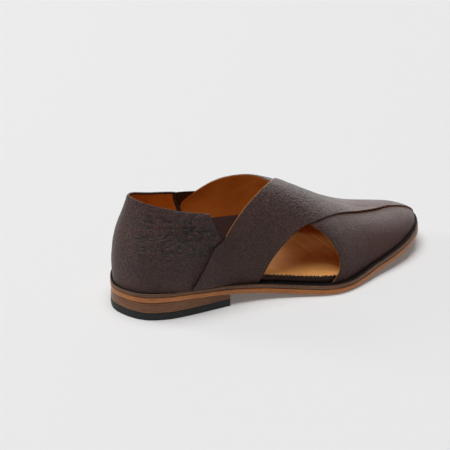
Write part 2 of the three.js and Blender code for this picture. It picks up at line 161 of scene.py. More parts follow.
# Rounded edges: width and depth
STRAP_EDGE = (1.5, 0.42)
STRAP_LINING_EDGE = (0.5, 0.14)
COLLAR_EDGE = (1.6, 0.45)
QUARTER_FRONT_EDGE = (1.3, 0.35)
QUARTER_UNDER_EDGE = (0.9, 0.3)
QUARTER_LINING_EDGE = (0.7, 0.2)
GORE_EDGE = (0.8, 0.18)

# Radii of the sole layers' edges, and clearances between the layers
OUTSOLE_RADIUS = 0.45
WELT_RADIUS = 1.2
RAND_RADIUS = 0.7
FOOTBED_RADIUS = 0.3
LIFT_RADIUS = 0.4
LAYER_CLEARANCE = 0.05
OUTSOLE_CLEARANCE = 0.1
RAND_OVERHANG = 0.3
FOOTBED_OVERHANG = 0.7

# Ragged edge of the footbed
NOTCH_DEPTH = 2.6
NOTCH_SIZE = (1.7, 1.7, 1.0)
NOTCH_SHARE = 0.2

# Joints of the heel stack as shares of its height, and the grooves and rounding along them
STACK_JOINTS = (0.26, 0.5, 0.75)
GROOVE_DEPTH = 0.14
GROOVE_REACH = 0.03
STACK_ROUNDING = 0.25

# Stitches: pitch, and the inset from the welt's or footbed's edge
WELT_PITCH = 2.9
WELT_STITCH_INSET = 1.8
FOOTBED_PITCH = 3.3
FOOTBED_STITCH_INSET = 0.5

# How finely curves and surfaces are cut: grids are rows and columns
CURVE_COUNT = 720
CURVE_REACH = 3
SLOPE_PROBE = 0.5
CHART_PROBE = 0.004
STRAP_GRID = (241, 84)
STRAP_LINING_GRID = (161, 44)
QUARTER_GRID = (300, 92)
QUARTER_LINING_GRID = (140, 44)
GORE_GRID = (41, 61)
STRAP_MEASURES = 24
COLLAR_MEASURES = 80
LAYER_COUNT = 150
FOOTBED_COUNT = 620
HEEL_COUNT = 90
LINE_COUNT = 900
LINE_PROBE = 0.4
TREAD_COLUMNS = 25
EDGE_STEPS = 3
STITCH_SIDES = 6
MERGE_DISTANCE = 2e-6
SMOOTH_ANGLE = 38
STACK_ANGLE = 60
STITCH_ANGLE = 80

# Steps in millimetres of a grid beside an edge that shows
NEAR_EDGE = np.array([0.0, 0.1, 0.3, 0.6, 1.0, 1.6])

# Welt outline: share of the length, then shares of half the local width, lateral and medial
OUTLINE = np.array([
    (0.02, 0.61, 0.42), (0.05, 0.88, 0.73), (0.10, 1.04, 0.88), (0.15, 1.085, 0.91),
    (0.20, 1.09, 0.88), (0.30, 1.00, 0.73), (0.40, 0.93, 0.64), (0.50, 0.99, 0.68),
    (0.55, 1.05, 0.74), (0.60, 1.085, 0.81), (0.65, 1.045, 0.88), (0.70, 0.955, 0.925),
    (0.75, 0.85, 0.935), (0.80, 0.76, 0.905), (0.85, 0.665, 0.845), (0.90, 0.535, 0.765),
    (0.95, 0.34, 0.62), (0.98, 0.15, 0.44),
])
HEEL_TIP = -0.08
TOE_TIP = 0.11

# Welt outside the feather line: share of the length, share of the welt's margin
MARGIN = np.array([
    (0, 0.42), (0.05, 0.38), (0.10, 0.22), (0.16, 0.04), (0.20, 0.04), (0.25, 0.30), (0.30, 0.78),
    (0.36, 1.00), (0.50, 1.05), (0.70, 1.12), (0.82, 0.95), (0.92, 0.90), (1, 0.45),
])

# Ridge of the last: share of the length, share of the instep height
RIDGE = np.array([
    (0.07, 1.276), (0.15, 1.255), (0.25, 1.205), (0.35, 1.145), (0.42, 1.080), (0.486, 1.000),
    (0.54, 0.905), (0.60, 0.785), (0.67, 0.648), (0.74, 0.533), (0.81, 0.456), (0.875, 0.411),
    (0.92, 0.385),
])

# How square the last's side walls are: place along, then a power that is lower where they are fuller
FULLNESS = np.array([(0, 1.05), (0.15, 0.98), (0.30, 0.86), (0.42, 0.90), (0.60, 1.20), (1, 1.30)])

# Collar: place along, then height up the last, lateral and medial
COLLAR = np.array([
    (0, 0.687, 0.687), (0.03, 0.684, 0.680), (0.078, 0.669, 0.658), (0.124, 0.645, 0.628),
    (0.164, 0.618, 0.601), (0.231, 0.578, 0.557), (0.310, 0.544, 0.517),
])

# Front edge of the quarter: height up the last, place along
QUARTER_FRONT = np.array([
    (0, 0.283), (0.126, 0.307), (0.283, 0.341), (0.340, 0.339), (0.447, 0.323), (0.544, 0.310),
])

# Main creases of the quarter: place along and height up the last of both ends, then the depth
CREASES = np.array([
    (0.169, 0.463, 0.281, 0.448, 0.35),
    (0.188, 0.422, 0.307, 0.416, 0.42),
    (0.232, 0.360, 0.315, 0.375, 0.45),
    (0.121, 0.550, 0.193, 0.500, 0.32),
    (0.120, 0.590, 0.232, 0.545, 0.25),
])
CREASE_WIDTH = 1.1
CREASE_SPAN = 127.0

# Straps: place along and across of the back edge, then of the front edge
OVER_STRAP = np.array([
    (0.262, -1, 0.420, -1), (0.297, -0.82, 0.445, -0.81), (0.319, -0.71, 0.475, -0.668),
    (0.341, -0.662, 0.490, -0.615), (0.362, -0.575, 0.508, -0.558), (0.396, -0.43, 0.548, -0.473),
    (0.443, -0.245, 0.62, -0.368), (0.506, 0, 0.76, -0.235), (0.519, 0.22, 0.90, -0.12),
    (0.530, 0.48, 1, 0.10), (0.553, 0.58, 1, 0.40), (0.572, 0.72, 1, 0.62), (0.572, 0.86, 1, 0.82),
    (0.556, 1, 1, 1),
])
UNDER_STRAP = np.array([
    (0.262, -1, 0.420, -1), (0.297, -0.82, 0.460, -0.80), (0.326, -0.65, 0.500, -0.70),
    (0.362, -0.48, 0.545, -0.62), (0.398, -0.325, 0.60, -0.50), (0.440, -0.19, 0.68, -0.33),
    (0.475, 0, 0.79, -0.13), (0.502, 0.25, 0.93, 0), (0.530, 0.505, 1, 0.10),
    (0.555, 0.585, 1, 0.40), (0.571, 0.72, 1, 0.62), (0.571, 0.86, 1, 0.82), (0.553, 1, 1, 1),
])

# Rings of a stitch: share of its length, share of its radius, rise in radii
STITCH_SHAPE = (
    (-0.5, 0.35, -0.55), (-0.36, 0.85, -0.1), (0.0, 1.0, 0.15), (0.36, 0.85, -0.1), (0.5, 0.35, -0.55),
)


# Curves and tables

def table_value(table, place, key=0, value=1):
    """Smooth value of one column of a table, at places in another column."""
    keys = table[:, key]
    values = table[:, value]
    last = len(keys) - 1
    place = np.clip(place, keys[0], keys[last])
    i = np.clip(np.searchsorted(keys, place, side="left") - 1, 0, last - 1)
    low = np.maximum(i - 1, 0)
    high = np.minimum(i + 2, last)
    span = keys[i + 1] - keys[i]
    t = (place - keys[i]) / span
    start = (values[i + 1] - values[low]) / (keys[i + 1] - keys[low]) * span
    end = (values[high] - values[i]) / (keys[high] - keys[i]) * span
    return (values[i] * (2 * t**3 - 3 * t**2 + 1) + start * (t**3 - 2 * t**2 + t)
            + values[i + 1] * (3 * t**2 - 2 * t**3) + end * (t**3 - t**2))


def catmull(points, closed, shares):
    """Points of a centripetal curve through the given ones, at shares of its count of spans."""
    points = np.asarray(points, float)
    if closed:
        padded = np.vstack([points[-1:], points, points[:2]])
        spans = len(points)
    else:
        padded = np.vstack([2 * points[:1] - points[1:2], points, 2 * points[-1:] - points[-2:-1]])
        spans = len(points) - 1
    place = np.asarray(shares, float) * spans
    i = np.clip(np.floor(place).astype(int), 0, spans - 1)
    w = (place - i)[:, None]
    p0, p1, p2, p3 = (padded[i + k] for k in range(4))
    knot = [np.linalg.norm(b - a, axis=1)[:, None] ** 0.5 for a, b in ((p0, p1), (p1, p2), (p2, p3))]
    d1 = np.where(knot[1] < 1e-4, 1.0, knot[1])
    d0 = np.where(knot[0] < 1e-4, d1, knot[0])
    d2 = np.where(knot[2] < 1e-4, d1, knot[2])
    start = ((p1 - p0) / d0 - (p2 - p0) / (d0 + d1) + (p2 - p1) / d1) * d1
    end = ((p2 - p1) / d1 - (p3 - p1) / (d1 + d2) + (p3 - p2) / d2) * d1
    return (p1 + start * w + (-3 * p1 + 3 * p2 - 2 * start - end) * w**2
            + (2 * p1 - 2 * p2 + start + end) * w**3)


def smoothstep(x, low, high):
    """Smooth rise from 0 at low to 1 at high."""
    t = np.clip((np.asarray(x, float) - low) / (high - low), 0, 1)
    return t * t * (3 - 2 * t)


def lerp(a, b, t):
    """Value on the way from a to b."""
    return a + (b - a) * t


def polyline_length(points):
    """Length of each row of points."""
    return np.linalg.norm(np.diff(points, axis=-2), axis=-1).sum(-1)


# Sole

def sole_rise(x):
    """Height of the outsole's lower edge above the floor."""
    x = np.asarray(x, float)
    back = TREAD_BACK * LENGTH
    front = TREAD_FRONT * LENGTH
    t = np.clip(x / back, None, 1)
    fall = (SEAT_HEIGHT - EDGE_RISE) * (2 * t**3 - 3 * t**2 + 1)
    seat = EDGE_RISE + fall + SEAT_SLOPE * back * (t**3 - 2 * t**2 + t)
    toe = EDGE_RISE + TOE_SPRING * np.clip((x - front) / (LENGTH - front), 0, None) ** SPRING_POWER
    return np.where(x < back, seat, toe)


def sole_slope(x):
    """Slope of the outsole's lower edge."""
    return (sole_rise(x + SLOPE_PROBE) - sole_rise(x - SLOPE_PROBE)) / (2 * SLOPE_PROBE)


def sole_point(x, y, height):
    """Points at a height square to the outsole's lower face."""
    x = np.asarray(x, float)
    slope = sole_slope(x)
    scale = height / np.hypot(1, slope)
    return np.stack([x - slope * scale, np.broadcast_to(y, x.shape), sole_rise(x) + scale], -1)


def sole_normal(points):
    """Directions square to the outsole's lower face."""
    slope = sole_slope(points[:, 0])
    return np.stack([-slope, np.zeros(len(points)), np.ones(len(points))], -1)


def welt_curve():
    """Closed plan curve through the outline table."""
    half_width = lerp(HEEL_WIDTH, BALL_WIDTH, smoothstep(OUTLINE[:, 0], HEEL_END, BALL_START)) / 2
    lateral = np.stack([OUTLINE[:, 0] * LENGTH, -OUTLINE[:, 1] * half_width], -1)
    medial = np.stack([OUTLINE[:, 0] * LENGTH, OUTLINE[:, 2] * half_width], -1)[::-1]
    heel = [(0, HEEL_TIP * HEEL_WIDTH / 2)]
    toe = [(LENGTH, TOE_TIP * BALL_WIDTH / 2)]
    return catmull(np.vstack([heel, lateral, toe, medial]), True, np.arange(CURVE_COUNT) / CURVE_COUNT)


WELT_CURVE = welt_curve()


def inset_halves(inset, from_feather=False):
    """The welt or feather outline moved inward, split at its ends into a lateral and a medial half."""
    reach = np.roll(WELT_CURVE, -CURVE_REACH, 0) - np.roll(WELT_CURVE, CURVE_REACH, 0)
    inward = np.stack([-reach[:, 1], reach[:, 0]], -1)
    inward /= np.linalg.norm(inward, axis=1)[:, None]
    margin = WELT_MARGIN * table_value(MARGIN, WELT_CURVE[:, 0] / LENGTH)
    moved = WELT_CURVE + inward * (inset + from_feather * margin)[:, None]
    heel = int(np.argmin(moved[:, 0]))
    toe = int(np.argmax(moved[:, 0]))
    count = len(moved)
    lateral = moved[(heel + np.arange((toe - heel) % count + 1)) % count]
    medial = moved[(heel - np.arange((heel - toe) % count + 1)) % count]
    return {"heel": moved[heel, 0], "toe": moved[toe, 0], "lateral": lateral, "medial": medial}


def side_at(half, x):
    """Sideways places of one half of an outline at distances from the heel."""
    return np.interp(x, half[:, 0], half[:, 1])


def station(halves, share):
    """Distances along the foot, which crowd toward both ends."""
    return lerp(halves["heel"], halves["toe"], (1 - np.cos(np.pi * share)) / 2)


def trimmed_toe(x, toe_trim):
    """Distances along the foot drawn back toward the toe by up to a trim."""
    return x - toe_trim * smoothstep(x, TREAD_FRONT * LENGTH, LENGTH)


FEATHER = inset_halves(0, True)


# Last

def last_point(side, along, up):
    """Points on the last, from the feather line (up 0) to the ridge (up 1)."""
    x = station(FEATHER, along)
    share = (x - FEATHER["heel"]) / (FEATHER["toe"] - FEATHER["heel"])
    y = np.where(side < 0, side_at(FEATHER["lateral"], x), side_at(FEATHER["medial"], x))
    foot = sole_point(x, y, FEATHER_HEIGHT)
    ridge_x = lerp(RIDGE_BACK, LENGTH - RIDGE_FRONT, share)
    ridge_y = lerp(RIDGE_SIDE_BACK, RIDGE_SIDE_FRONT, share)
    ridge_z = EDGE_RISE + INSTEP_HEIGHT * table_value(RIDGE, ridge_x / LENGTH)
    turn = up * np.pi / 2
    inward = 1 - np.maximum(np.cos(turn), 0) ** table_value(FULLNESS, share)
    upward = np.sin(turn) ** SHOULDER_POWER
    round_heel = np.clip(1 - share / HEEL_BULGE_END, 0, None)
    heel = HEEL_BULGE * round_heel * np.sin(np.pi * np.clip(up / HEEL_BULGE_TOP, None, 1))
    waist = smoothstep(share, *WAIST_SWELL) * (1 - smoothstep(share, *WAIST_FADE))
    bulge = np.where(side < 0, LATERAL_WAIST_BULGE, MEDIAL_WAIST_BULGE) * waist * np.sin(np.pi * up)
    bulge = bulge + HEEL_FLARE * (1 - smoothstep(share, 0, FLARE_END)) * smoothstep(up, *FLARE_HEIGHTS)
    out = np.stack([foot[..., 0] - ridge_x, foot[..., 1] - ridge_y], -1)
    out /= np.linalg.norm(out, axis=-1)[..., None]
    return np.stack([
        lerp(foot[..., 0], ridge_x, inward) + out[..., 0] * (heel + bulge),
        lerp(foot[..., 1], ridge_y, inward) + out[..., 1] * (heel + bulge),
        lerp(foot[..., 2], ridge_z, upward),
    ], -1)


def chart_point(along, across):
    """Both sides in one chart: across is -1 at the lateral feather line and 1 at the medial one."""
    over = (along > 1) | (along < 0)
    place = np.where(along > 1, 2 - along, np.abs(along))
    side = np.where(over, -across, across)
    return last_point(np.where(side < 0, -1, 1), place, 1 - np.clip(np.abs(side), 0, 1))


def level_point(along, across, level):
    """Points of the chart moved square to the last by a level."""
    lower = np.maximum(across - CHART_PROBE, -1)
    upper = np.minimum(across + CHART_PROBE, 1)
    forward = chart_point(along + CHART_PROBE, across) - chart_point(along - CHART_PROBE, across)
    sideways = chart_point(along, upper) - chart_point(along, lower)
    outward = np.cross(forward, sideways)
    outward /= np.linalg.norm(outward, axis=-1)[..., None]
    return chart_point(along, across) + outward * np.asarray(level)[..., None]


# Noise on a fixed lattice, for relief in the leather

LATTICE_SIZE = 32
LATTICE = np.random.default_rng(11).random((LATTICE_SIZE, LATTICE_SIZE, LATTICE_SIZE))


def wander(points, size):
    """Smooth noise from 0 to 1 at points, with features of about one size each way."""
    p = np.asarray(points, float) / np.asarray(size, float)
    cell = np.floor(p).astype(int)
    f = p - cell
    f = f * f * (3 - 2 * f)
    total = 0
    for corner in np.ndindex(2, 2, 2):
        c = np.array(corner)
        weight = np.prod(np.where(c, f, 1 - f), axis=-1)
        at = (cell + c) % LATTICE_SIZE
        total = total + weight * LATTICE[at[..., 0], at[..., 1], at[..., 2]]
    return total


def pebble(points, amount):
    """Low relief of milled leather, in millimetres."""
    fine = wander(points, (1.9, 1.9, 1.9))
    broad = wander(points + 40, (6.0, 6.0, 5.0))
    return amount * ((fine - 0.5) * 0.22 + (broad - 0.5) * 0.3)


# Meshes

outsole_low, outsole_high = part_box("outsole")
SOLE_RIM = np.vstack([sole_point(*WELT_CURVE.T, height) for height in (0, OUTSOLE_THICKNESS)])
SHIFT = (np.array(outsole_low + outsole_high) * 500
         - (SOLE_RIM.min(0) + SOLE_RIM.max(0)) / 2) * np.array([1, 1, 0])


def to_row(points):
    """Millimetres from the back of the heel to metres in the row frame."""
    return (np.asarray(points, float) + SHIFT) / 1000


def add_object(name, data):
    """A new object in the scene."""
    made = bpy.data.objects.new(name, data)
    bpy.context.scene.collection.objects.link(made)
    return made


def make_piece(name, points, faces, materials, replaces=(), kinds=None, attributes=None,
               angle=SMOOTH_ANGLE):
    """A piece of the shoe from points in millimetres; kinds are its faces' material numbers."""
    mesh = bpy.data.meshes.new(name)
    mesh.from_pydata(to_row(points).tolist(), [], [tuple(int(i) for i in f) for f in faces])
    for material in materials:
        mesh.materials.append(material)
    if kinds is not None:
        mesh.polygons.foreach_set("material_index", np.asarray(kinds, np.int32))
    for key, values in (attributes or {}).items():
        layer = mesh.attributes.new(key, "FLOAT", "POINT")
        layer.data.foreach_set("value", np.asarray(values, np.float32))
    work = bmesh.new()
    work.from_mesh(mesh)
    bmesh.ops.remove_doubles(work, verts=work.verts, dist=MERGE_DISTANCE)
    bmesh.ops.recalc_face_normals(work, faces=work.faces)
    work.to_mesh(mesh)
    work.free()
    mesh.shade_smooth()
    mesh.set_sharp_from_angle(angle=math.radians(angle))
    piece = add_object(name, mesh)
    if replaces:
        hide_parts(*replaces)
    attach(piece, "root")


def grid_faces(rows, columns):
    """Faces of a closed sheet whose outer grid comes before its inner one."""
    i, j = np.meshgrid(np.arange(rows - 1), np.arange(columns - 1), indexing="ij")
    a = (i * columns + j).ravel()
    outer = np.stack([a, a + columns, a + columns + 1, a + 1], -1)
    inner = outer[:, ::-1] + rows * columns
    rim = np.concatenate([
        np.arange(columns - 1),
        np.arange(rows - 1) * columns + columns - 1,
        (rows - 1) * columns + np.arange(columns - 1, 0, -1),
        np.arange(rows - 1, 0, -1) * columns,
    ])
    ahead = np.roll(rim, -1)
    walls = np.stack([rim, ahead, ahead + rows * columns, rim + rows * columns], -1)
    return np.vstack([outer, inner, walls])


def sheet_piece(name, outer, inner, material, slot=None, replaces=(), **attributes):
    """A closed sheet between two grids of points, with attributes given on the grid."""
    points = np.vstack([outer.reshape(-1, 3), inner.reshape(-1, 3)])
    doubled = {key: np.tile(values.ravel(), 2) for key, values in attributes.items()}
    make_piece(name, points, grid_faces(*outer.shape[:2]), [material], replaces, attributes=doubled)


def graded(width, count, first=True):
    """Shares of a width whose steps are fine beside the last edge, and beside the first if asked."""
    start = NEAR_EDGE if first else np.array([0.0])
    middle = np.linspace(0, 1, count + 2)[1:-1]
    inner = lerp(start[-1], width - NEAR_EDGE[-1], middle)
    return np.concatenate([start, inner, width - NEAR_EDGE[::-1]]) / width


def edge_drop(distance, edge):
    """How far the face falls beside a rounded edge."""
    width, depth = edge
    t = 1 - np.clip(distance / width, 0, 1)
    return depth * (1 - np.sqrt(1 - t * t))


# Straps

def over_level(across):
    """Level of the over strap, which climbs where it passes over the under strap."""
    return lerp(WAIST_LEVEL, OVER_LEVEL, smoothstep(across, *OVER_CLIMB))


def under_level(across):
    """Level of the under strap, which sinks to the last where it passes below."""
    return WAIST_LEVEL * (1 - smoothstep(across, *UNDER_FALL))


def no_lift(share, from_front):
    """The under strap's edges lie close."""
    return np.zeros(from_front.shape)


def vamp_lift(share, from_front):
    """The over strap's free edge stands a little proud along the middle of the vamp."""
    here = smoothstep(share, *VAMP_LIFT_START) * (1 - smoothstep(share, *VAMP_LIFT_END))
    return VAMP_LIFT * here * np.exp(-np.clip(from_front, 0, None) / VAMP_LIFT_WIDTH)


def over_hem(across, front=False):
    """Millimetres by which the over strap's lining stops short of its leather."""
    if front:
        return lerp(FRONT_SHORT, -SEAM_PROUD, smoothstep(across, *OVER_FRONT_TURN))
    return lerp(BACK_SHORT, -BACK_PROUD, smoothstep(across, *BACK_TURN)) * (1 - smoothstep(across, *BACK_FADE))


def under_hem(across, front=False):
    """Millimetres by which the under strap's lining stops short of its leather."""
    if front:
        return -FRONT_PROUD * (1 - smoothstep(across, *UNDER_FRONT_FADE))
    return lerp(BACK_SHORT, 0, smoothstep(across, *BACK_TURN))


def strap_chart(table, side, grid, hem=None):
    """Chart places of a strap's grid, the distances to its two edges, and the share of its length."""
    rows, columns = grid
    shares = np.linspace(0, 1, rows)
    back = catmull(table[:, :2], False, shares)
    front = catmull(table[:, 2:], False, shares)
    front[:, 0] = np.where(front[:, 0] > SEAM_START, 1 + SEAM_LAP, front[:, 0])

    def at(s):
        along = lerp(back[:, :1], front[:, :1], s)
        across = np.clip(lerp(back[:, 1:], front[:, 1:], s), -1, 1)
        return along, -side * across

    coarse = np.linspace(0, 1, STRAP_MEASURES)[None, :]
    width = polyline_length(level_point(*at(coarse), np.zeros((rows, STRAP_MEASURES))))
    start = hem(back[:, 1:]) if hem else np.zeros((rows, 1))
    end = hem(front[:, 1:], True) if hem else np.zeros((rows, 1))
    inside = width - start[:, 0] - end[:, 0]
    s = np.stack([graded(w, columns) for w in inside])
    from_back = s * inside[:, None]
    from_front = (1 - s) * inside[:, None]
    along, across = at((start + from_back) / width[:, None])
    return along, across, from_back, from_front, shares[:, None] + 0 * s


def strap_pieces(name, table, side, level_at, lift_at, hem):
    """The leather and the lining of a strap."""
    along, across, from_back, from_front, share = strap_chart(table, side, STRAP_GRID)
    own = -side * across
    up = 1 - np.abs(across)
    level = level_at(own) + lift_at(share, from_front)
    covered = (1 - smoothstep(along - table_value(QUARTER_FRONT, up), *SHOW_THROUGH_EDGE)) * (own < WAIST_REACH)
    shown = SHOW_THROUGH * covered * (1 - smoothstep(up, *SHOW_THROUGH_TOP))
    edge = np.minimum(from_back, from_front)
    grain = 1 - smoothstep(along, 0.55, 0.72) * 0.7
    relief = pebble(level_point(along, across, level), grain) * smoothstep(edge, 0.0, 2.0)
    fall = edge_drop(from_back, STRAP_EDGE) + edge_drop(from_front, STRAP_EDGE)
    outer = level_point(along, across, level + shown + relief - fall)
    under = level_point(along, across, level - LEATHER)
    sheet_piece(name, outer, under, LEATHER_LOOK, "upper_leather", ["upper"], grain=grain, edge=edge)

    along, across, from_back, from_front, share = strap_chart(table, side, STRAP_LINING_GRID, hem)
    level = level_at(-side * across) + lift_at(share, from_front) - LEATHER - LINING_GAP
    fall = edge_drop(from_back, STRAP_LINING_EDGE) + edge_drop(from_front, STRAP_LINING_EDGE)
    top = level_point(along, across, level)
    bottom = level_point(along, across, level - LINING + fall)
    sheet_piece(name + "_lining", top, bottom, LINING_LOOK, replaces=["upper"])


# Heel quarter

def collar_height(turn):
    """Height of the collar up the last: turn is -1 at the lateral front corner and 1 at the medial one."""
    place = np.abs(turn) * COLLAR[-1, 0]
    return np.where(turn < 0, table_value(COLLAR, place, 0, 1), table_value(COLLAR, place, 0, 2))


def quarter_place(turn, up):
    """Chart places of the quarter at a turn round the heel and a height up the last."""
    return np.abs(turn) * table_value(QUARTER_FRONT, up), np.where(turn < 0, -1, 1) * (1 - up)


def quarter_chart(grid, hem=0.0):
    """Chart places of the quarter's grid, the distances to its collar and front edges, and its heights."""
    rows, columns = grid
    coarse = np.linspace(-1, 1, COLLAR_MEASURES)
    collar = level_point(*quarter_place(coarse, collar_height(coarse)), np.zeros(COLLAR_MEASURES))
    length = polyline_length(collar)
    turn = (graded(length, rows)[:, None] * 2 - 1) * (1 - 2 * hem / length)
    s = graded(QUARTER_HEIGHT, columns, False)[None, :] * (1 - hem / QUARTER_HEIGHT)
    up = collar_height(turn) * s
    along, across = quarter_place(turn, up)
    to_collar = (1 - s) * QUARTER_HEIGHT + 0 * turn
    to_front = (1 - np.abs(turn)) / 2 * length + 0 * s
    return along, across, to_collar, to_front, up


def creases(along, up):
    """Soft troughs placed on the quarter, each with a ridge above it, in millimetres."""
    total = np.zeros(along.shape)
    for start, start_up, end, end_up, depth in CREASES:
        t = (along - start) / (end - start)
        off = (up - lerp(start_up, end_up, t)) * CREASE_SPAN / CREASE_WIDTH
        shown = smoothstep(t, -0.15, 0.2) * (1 - smoothstep(t, 0.8, 1.15))
        total += depth * shown * (0.6 * np.exp(-(off - 1.7) ** 2) - np.exp(-off**2))
    return total


def wrinkles(surface):
    """Slanting folds of the quarter, about 0 on average, in millimetres."""
    tilt = surface.copy()
    tilt[..., 2] += (wander(surface + 9, (9, 9, 7)) - 0.5) * 6 - 0.3 * surface[..., 0]
    ridged = 1 - np.abs(2 * wander(tilt, (6.5, 6.5, 1.7)) - 1)
    return (ridged - 0.6) * 0.42


def quarter_pieces():
    """The leather and the lining of the heel quarter."""
    along, across, to_collar, to_front, up = quarter_chart(QUARTER_GRID)
    edge = np.minimum(to_collar, to_front)
    surface = level_point(along, across, np.full(along.shape, QUARTER_LEVEL))
    zone = smoothstep(along, 0.06, 0.13) * (1 - smoothstep(up, 0.5, 0.62)) * smoothstep(up, 0.12, 0.3)
    relief = pebble(surface, 1.0) + zone * wrinkles(surface) + creases(along, up)
    fall = edge_drop(to_collar, COLLAR_EDGE) + edge_drop(to_front, QUARTER_FRONT_EDGE)
    outer = level_point(along, across, QUARTER_LEVEL + relief * smoothstep(edge, 0.0, 2.5) - fall)
    folded = QUARTER_LINING * (1 - smoothstep(edge, *HEM_FADE))
    fall = edge_drop(to_collar, QUARTER_UNDER_EDGE) + edge_drop(to_front, QUARTER_UNDER_EDGE)
    under = level_point(along, across, QUARTER_LEVEL - LEATHER - folded + fall)
    sheet_piece("quarter", outer, under, LEATHER_LOOK, "upper_leather", ["upper"],
                grain=np.ones(zone.shape), edge=edge, folds=zone)

    along, across, to_collar, to_front = quarter_chart(QUARTER_LINING_GRID, COLLAR_HEM)[:4]
    level = QUARTER_LEVEL - LEATHER - LINING_GAP
    fall = edge_drop(to_collar, QUARTER_LINING_EDGE) + edge_drop(to_front, QUARTER_LINING_EDGE)
    top = level_point(along, across, np.full(along.shape, level))
    bottom = level_point(along, across, level - QUARTER_LINING + fall)
    sheet_piece("quarter_lining", top, bottom, SUEDE_LOOK, replaces=["upper"])


# Gores

def gore_piece(name, node, side, table):
    """Ribbed elastic between the quarter's front edge and a strap's back edge."""
    climb = table[table[:, 1] < GORE_EDGE_START]
    back = np.stack([1 + climb[:, 1], climb[:, 0]], -1)
    rows, columns = GORE_GRID
    up = lerp(GORE_BOTTOM, GORE_TOP, np.linspace(0, 1, rows))[:, None]
    share = np.linspace(0, 1, columns)[None, :]
    start = table_value(QUARTER_FRONT, up) - GORE_LAP
    end = table_value(back, up) + GORE_LAP
    along = lerp(start, end, share)
    across = side * (1 - up) + 0 * share
    level = lerp(GORE_QUARTER_LEVEL, GORE_STRAP_LEVEL, share) + 0 * up
    steps = np.linalg.norm(np.diff(level_point(along, across, level), axis=1), axis=2)
    run = np.concatenate([np.zeros((rows, 1)), np.cumsum(steps, 1)], 1)
    fall = edge_drop((GORE_TOP - up) / (GORE_TOP - GORE_BOTTOM) * GORE_HEIGHT, GORE_EDGE)
    outer = level_point(along, across, level - fall)
    inner = level_point(along, across, level - GORE_THICKNESS + fall)
    sheet_piece(name, outer, inner, ELASTIC_LOOK, "gore_elastic", [node], run=run)


# Layers of the sole

def ring_rows(profile, place, count, end_x, toe_trim, from_feather):
    """Lateral and medial half rings of a layer: each profile row is an inset and a height."""
    rings = []
    for inset, height in profile:
        halves = inset_halves(inset, from_feather)
        reach = 1.0
        if end_x is not None:
            share = (end_x - halves["heel"]) / (halves["toe"] - halves["heel"])
            reach = math.acos(1 - 2 * share) / math.pi
        x = station(halves, np.linspace(0, reach, count + 1))
        sides = (side_at(halves["lateral"], x), side_at(halves["medial"], x))
        rings.append([place(trimmed_toe(x, toe_trim), y, height) for y in sides])
    return rings


def layer_piece(name, profile, place, materials, node, kinds=None, end_x=None, toe_trim=0.0,
                count=LAYER_COUNT, angle=SMOOTH_ANGLE, bite=None, from_feather=False, crown=None):
    """A layer of the sole as rings round its edge with a cap below and a cap above."""
    rings = ring_rows(profile, place, count, end_x, toe_trim, from_feather)
    loops = [np.vstack([lateral, medial[::-1]]) for lateral, medial in rings]
    if bite:
        loops = [bite(k, loop) for k, loop in enumerate(loops)]
    points = np.vstack(loops)
    bands = len(loops) - 1
    kinds = kinds or [0] * bands
    size = 2 * (count + 1)
    around = np.arange(size)
    ahead = np.roll(around, -1)
    band = np.stack([around, ahead, ahead + size, around + size], -1)
    i = np.arange(count)
    cap = np.stack([i, i + 1, size - 2 - i, size - 1 - i], -1)
    base = cap[:, ::-1]
    if crown:
        i, j = np.meshgrid(i, np.arange(TREAD_COLUMNS - 1), indexing="ij")
        a = (len(points) + i * TREAD_COLUMNS + j).ravel()
        base = np.stack([a, a + 1, a + 1 + TREAD_COLUMNS, a + TREAD_COLUMNS], -1)
        points = np.vstack([points, crown(*rings[0]).reshape(-1, 3)])
    faces = [band + k * size for k in range(bands)] + [cap + bands * size, base]
    marks = np.repeat([*kinds, kinds[-1], kinds[0]], [len(part) for part in faces])
    make_piece(name, points, np.vstack(faces), materials, [node], marks, angle=angle)


def slab_profile(inset, low, high, radius):
    """Profile of a layer whose two edges are rounded."""
    turn = np.linspace(0, math.pi / 2, EDGE_STEPS + 1)
    lower = [(inset + radius * (1 - math.sin(a)), low + radius * (1 - math.cos(a))) for a in turn]
    upper = [(inset + radius * (1 - math.cos(a)), high - radius * (1 - math.sin(a))) for a in turn]
    return lower + upper


def stack_profile():
    """Four lifts of leather with a fine groove at each joint."""
    rows = [(STACK_INSET + STACK_ROUNDING, 0.0), (STACK_INSET, GROOVE_REACH)]
    for joint in STACK_JOINTS:
        rows += [(STACK_INSET, joint - GROOVE_REACH), (STACK_INSET + GROOVE_DEPTH, joint),
                 (STACK_INSET, joint + GROOVE_REACH)]
    return rows + [(STACK_INSET, 1 - GROOVE_REACH), (STACK_INSET + STACK_ROUNDING, 1.0)]


def level_floor(x, y, height):
    """Points at a height above the floor."""
    return np.stack([x, y, np.full(x.shape, float(height))], -1)


def under_seat(x, y, share):
    """Points between the top of the lift (share 0) and the outsole's lower face (share 1)."""
    low = LIFT_THICKNESS + LAYER_CLEARANCE
    return np.stack([x, y, lerp(low, sole_rise(x) - LAYER_CLEARANCE, share)], -1)


def tread_crown(lateral, medial):
    """Lower face of the outsole, which comes down to the floor between its raised edges."""
    shares = np.linspace(0, 1, TREAD_COLUMNS)[None, :, None]
    points = lateral[:, None] * (1 - shares) + medial[:, None] * shares
    crown = smoothstep(np.minimum(shares, 1 - shares)[..., 0], 0, CROWN_SHARE)
    points[..., 2] -= EDGE_RISE * crown * smoothstep(points[..., 0], HEEL_LENGTH, HEEL_LENGTH + CROWN_START)
    return points


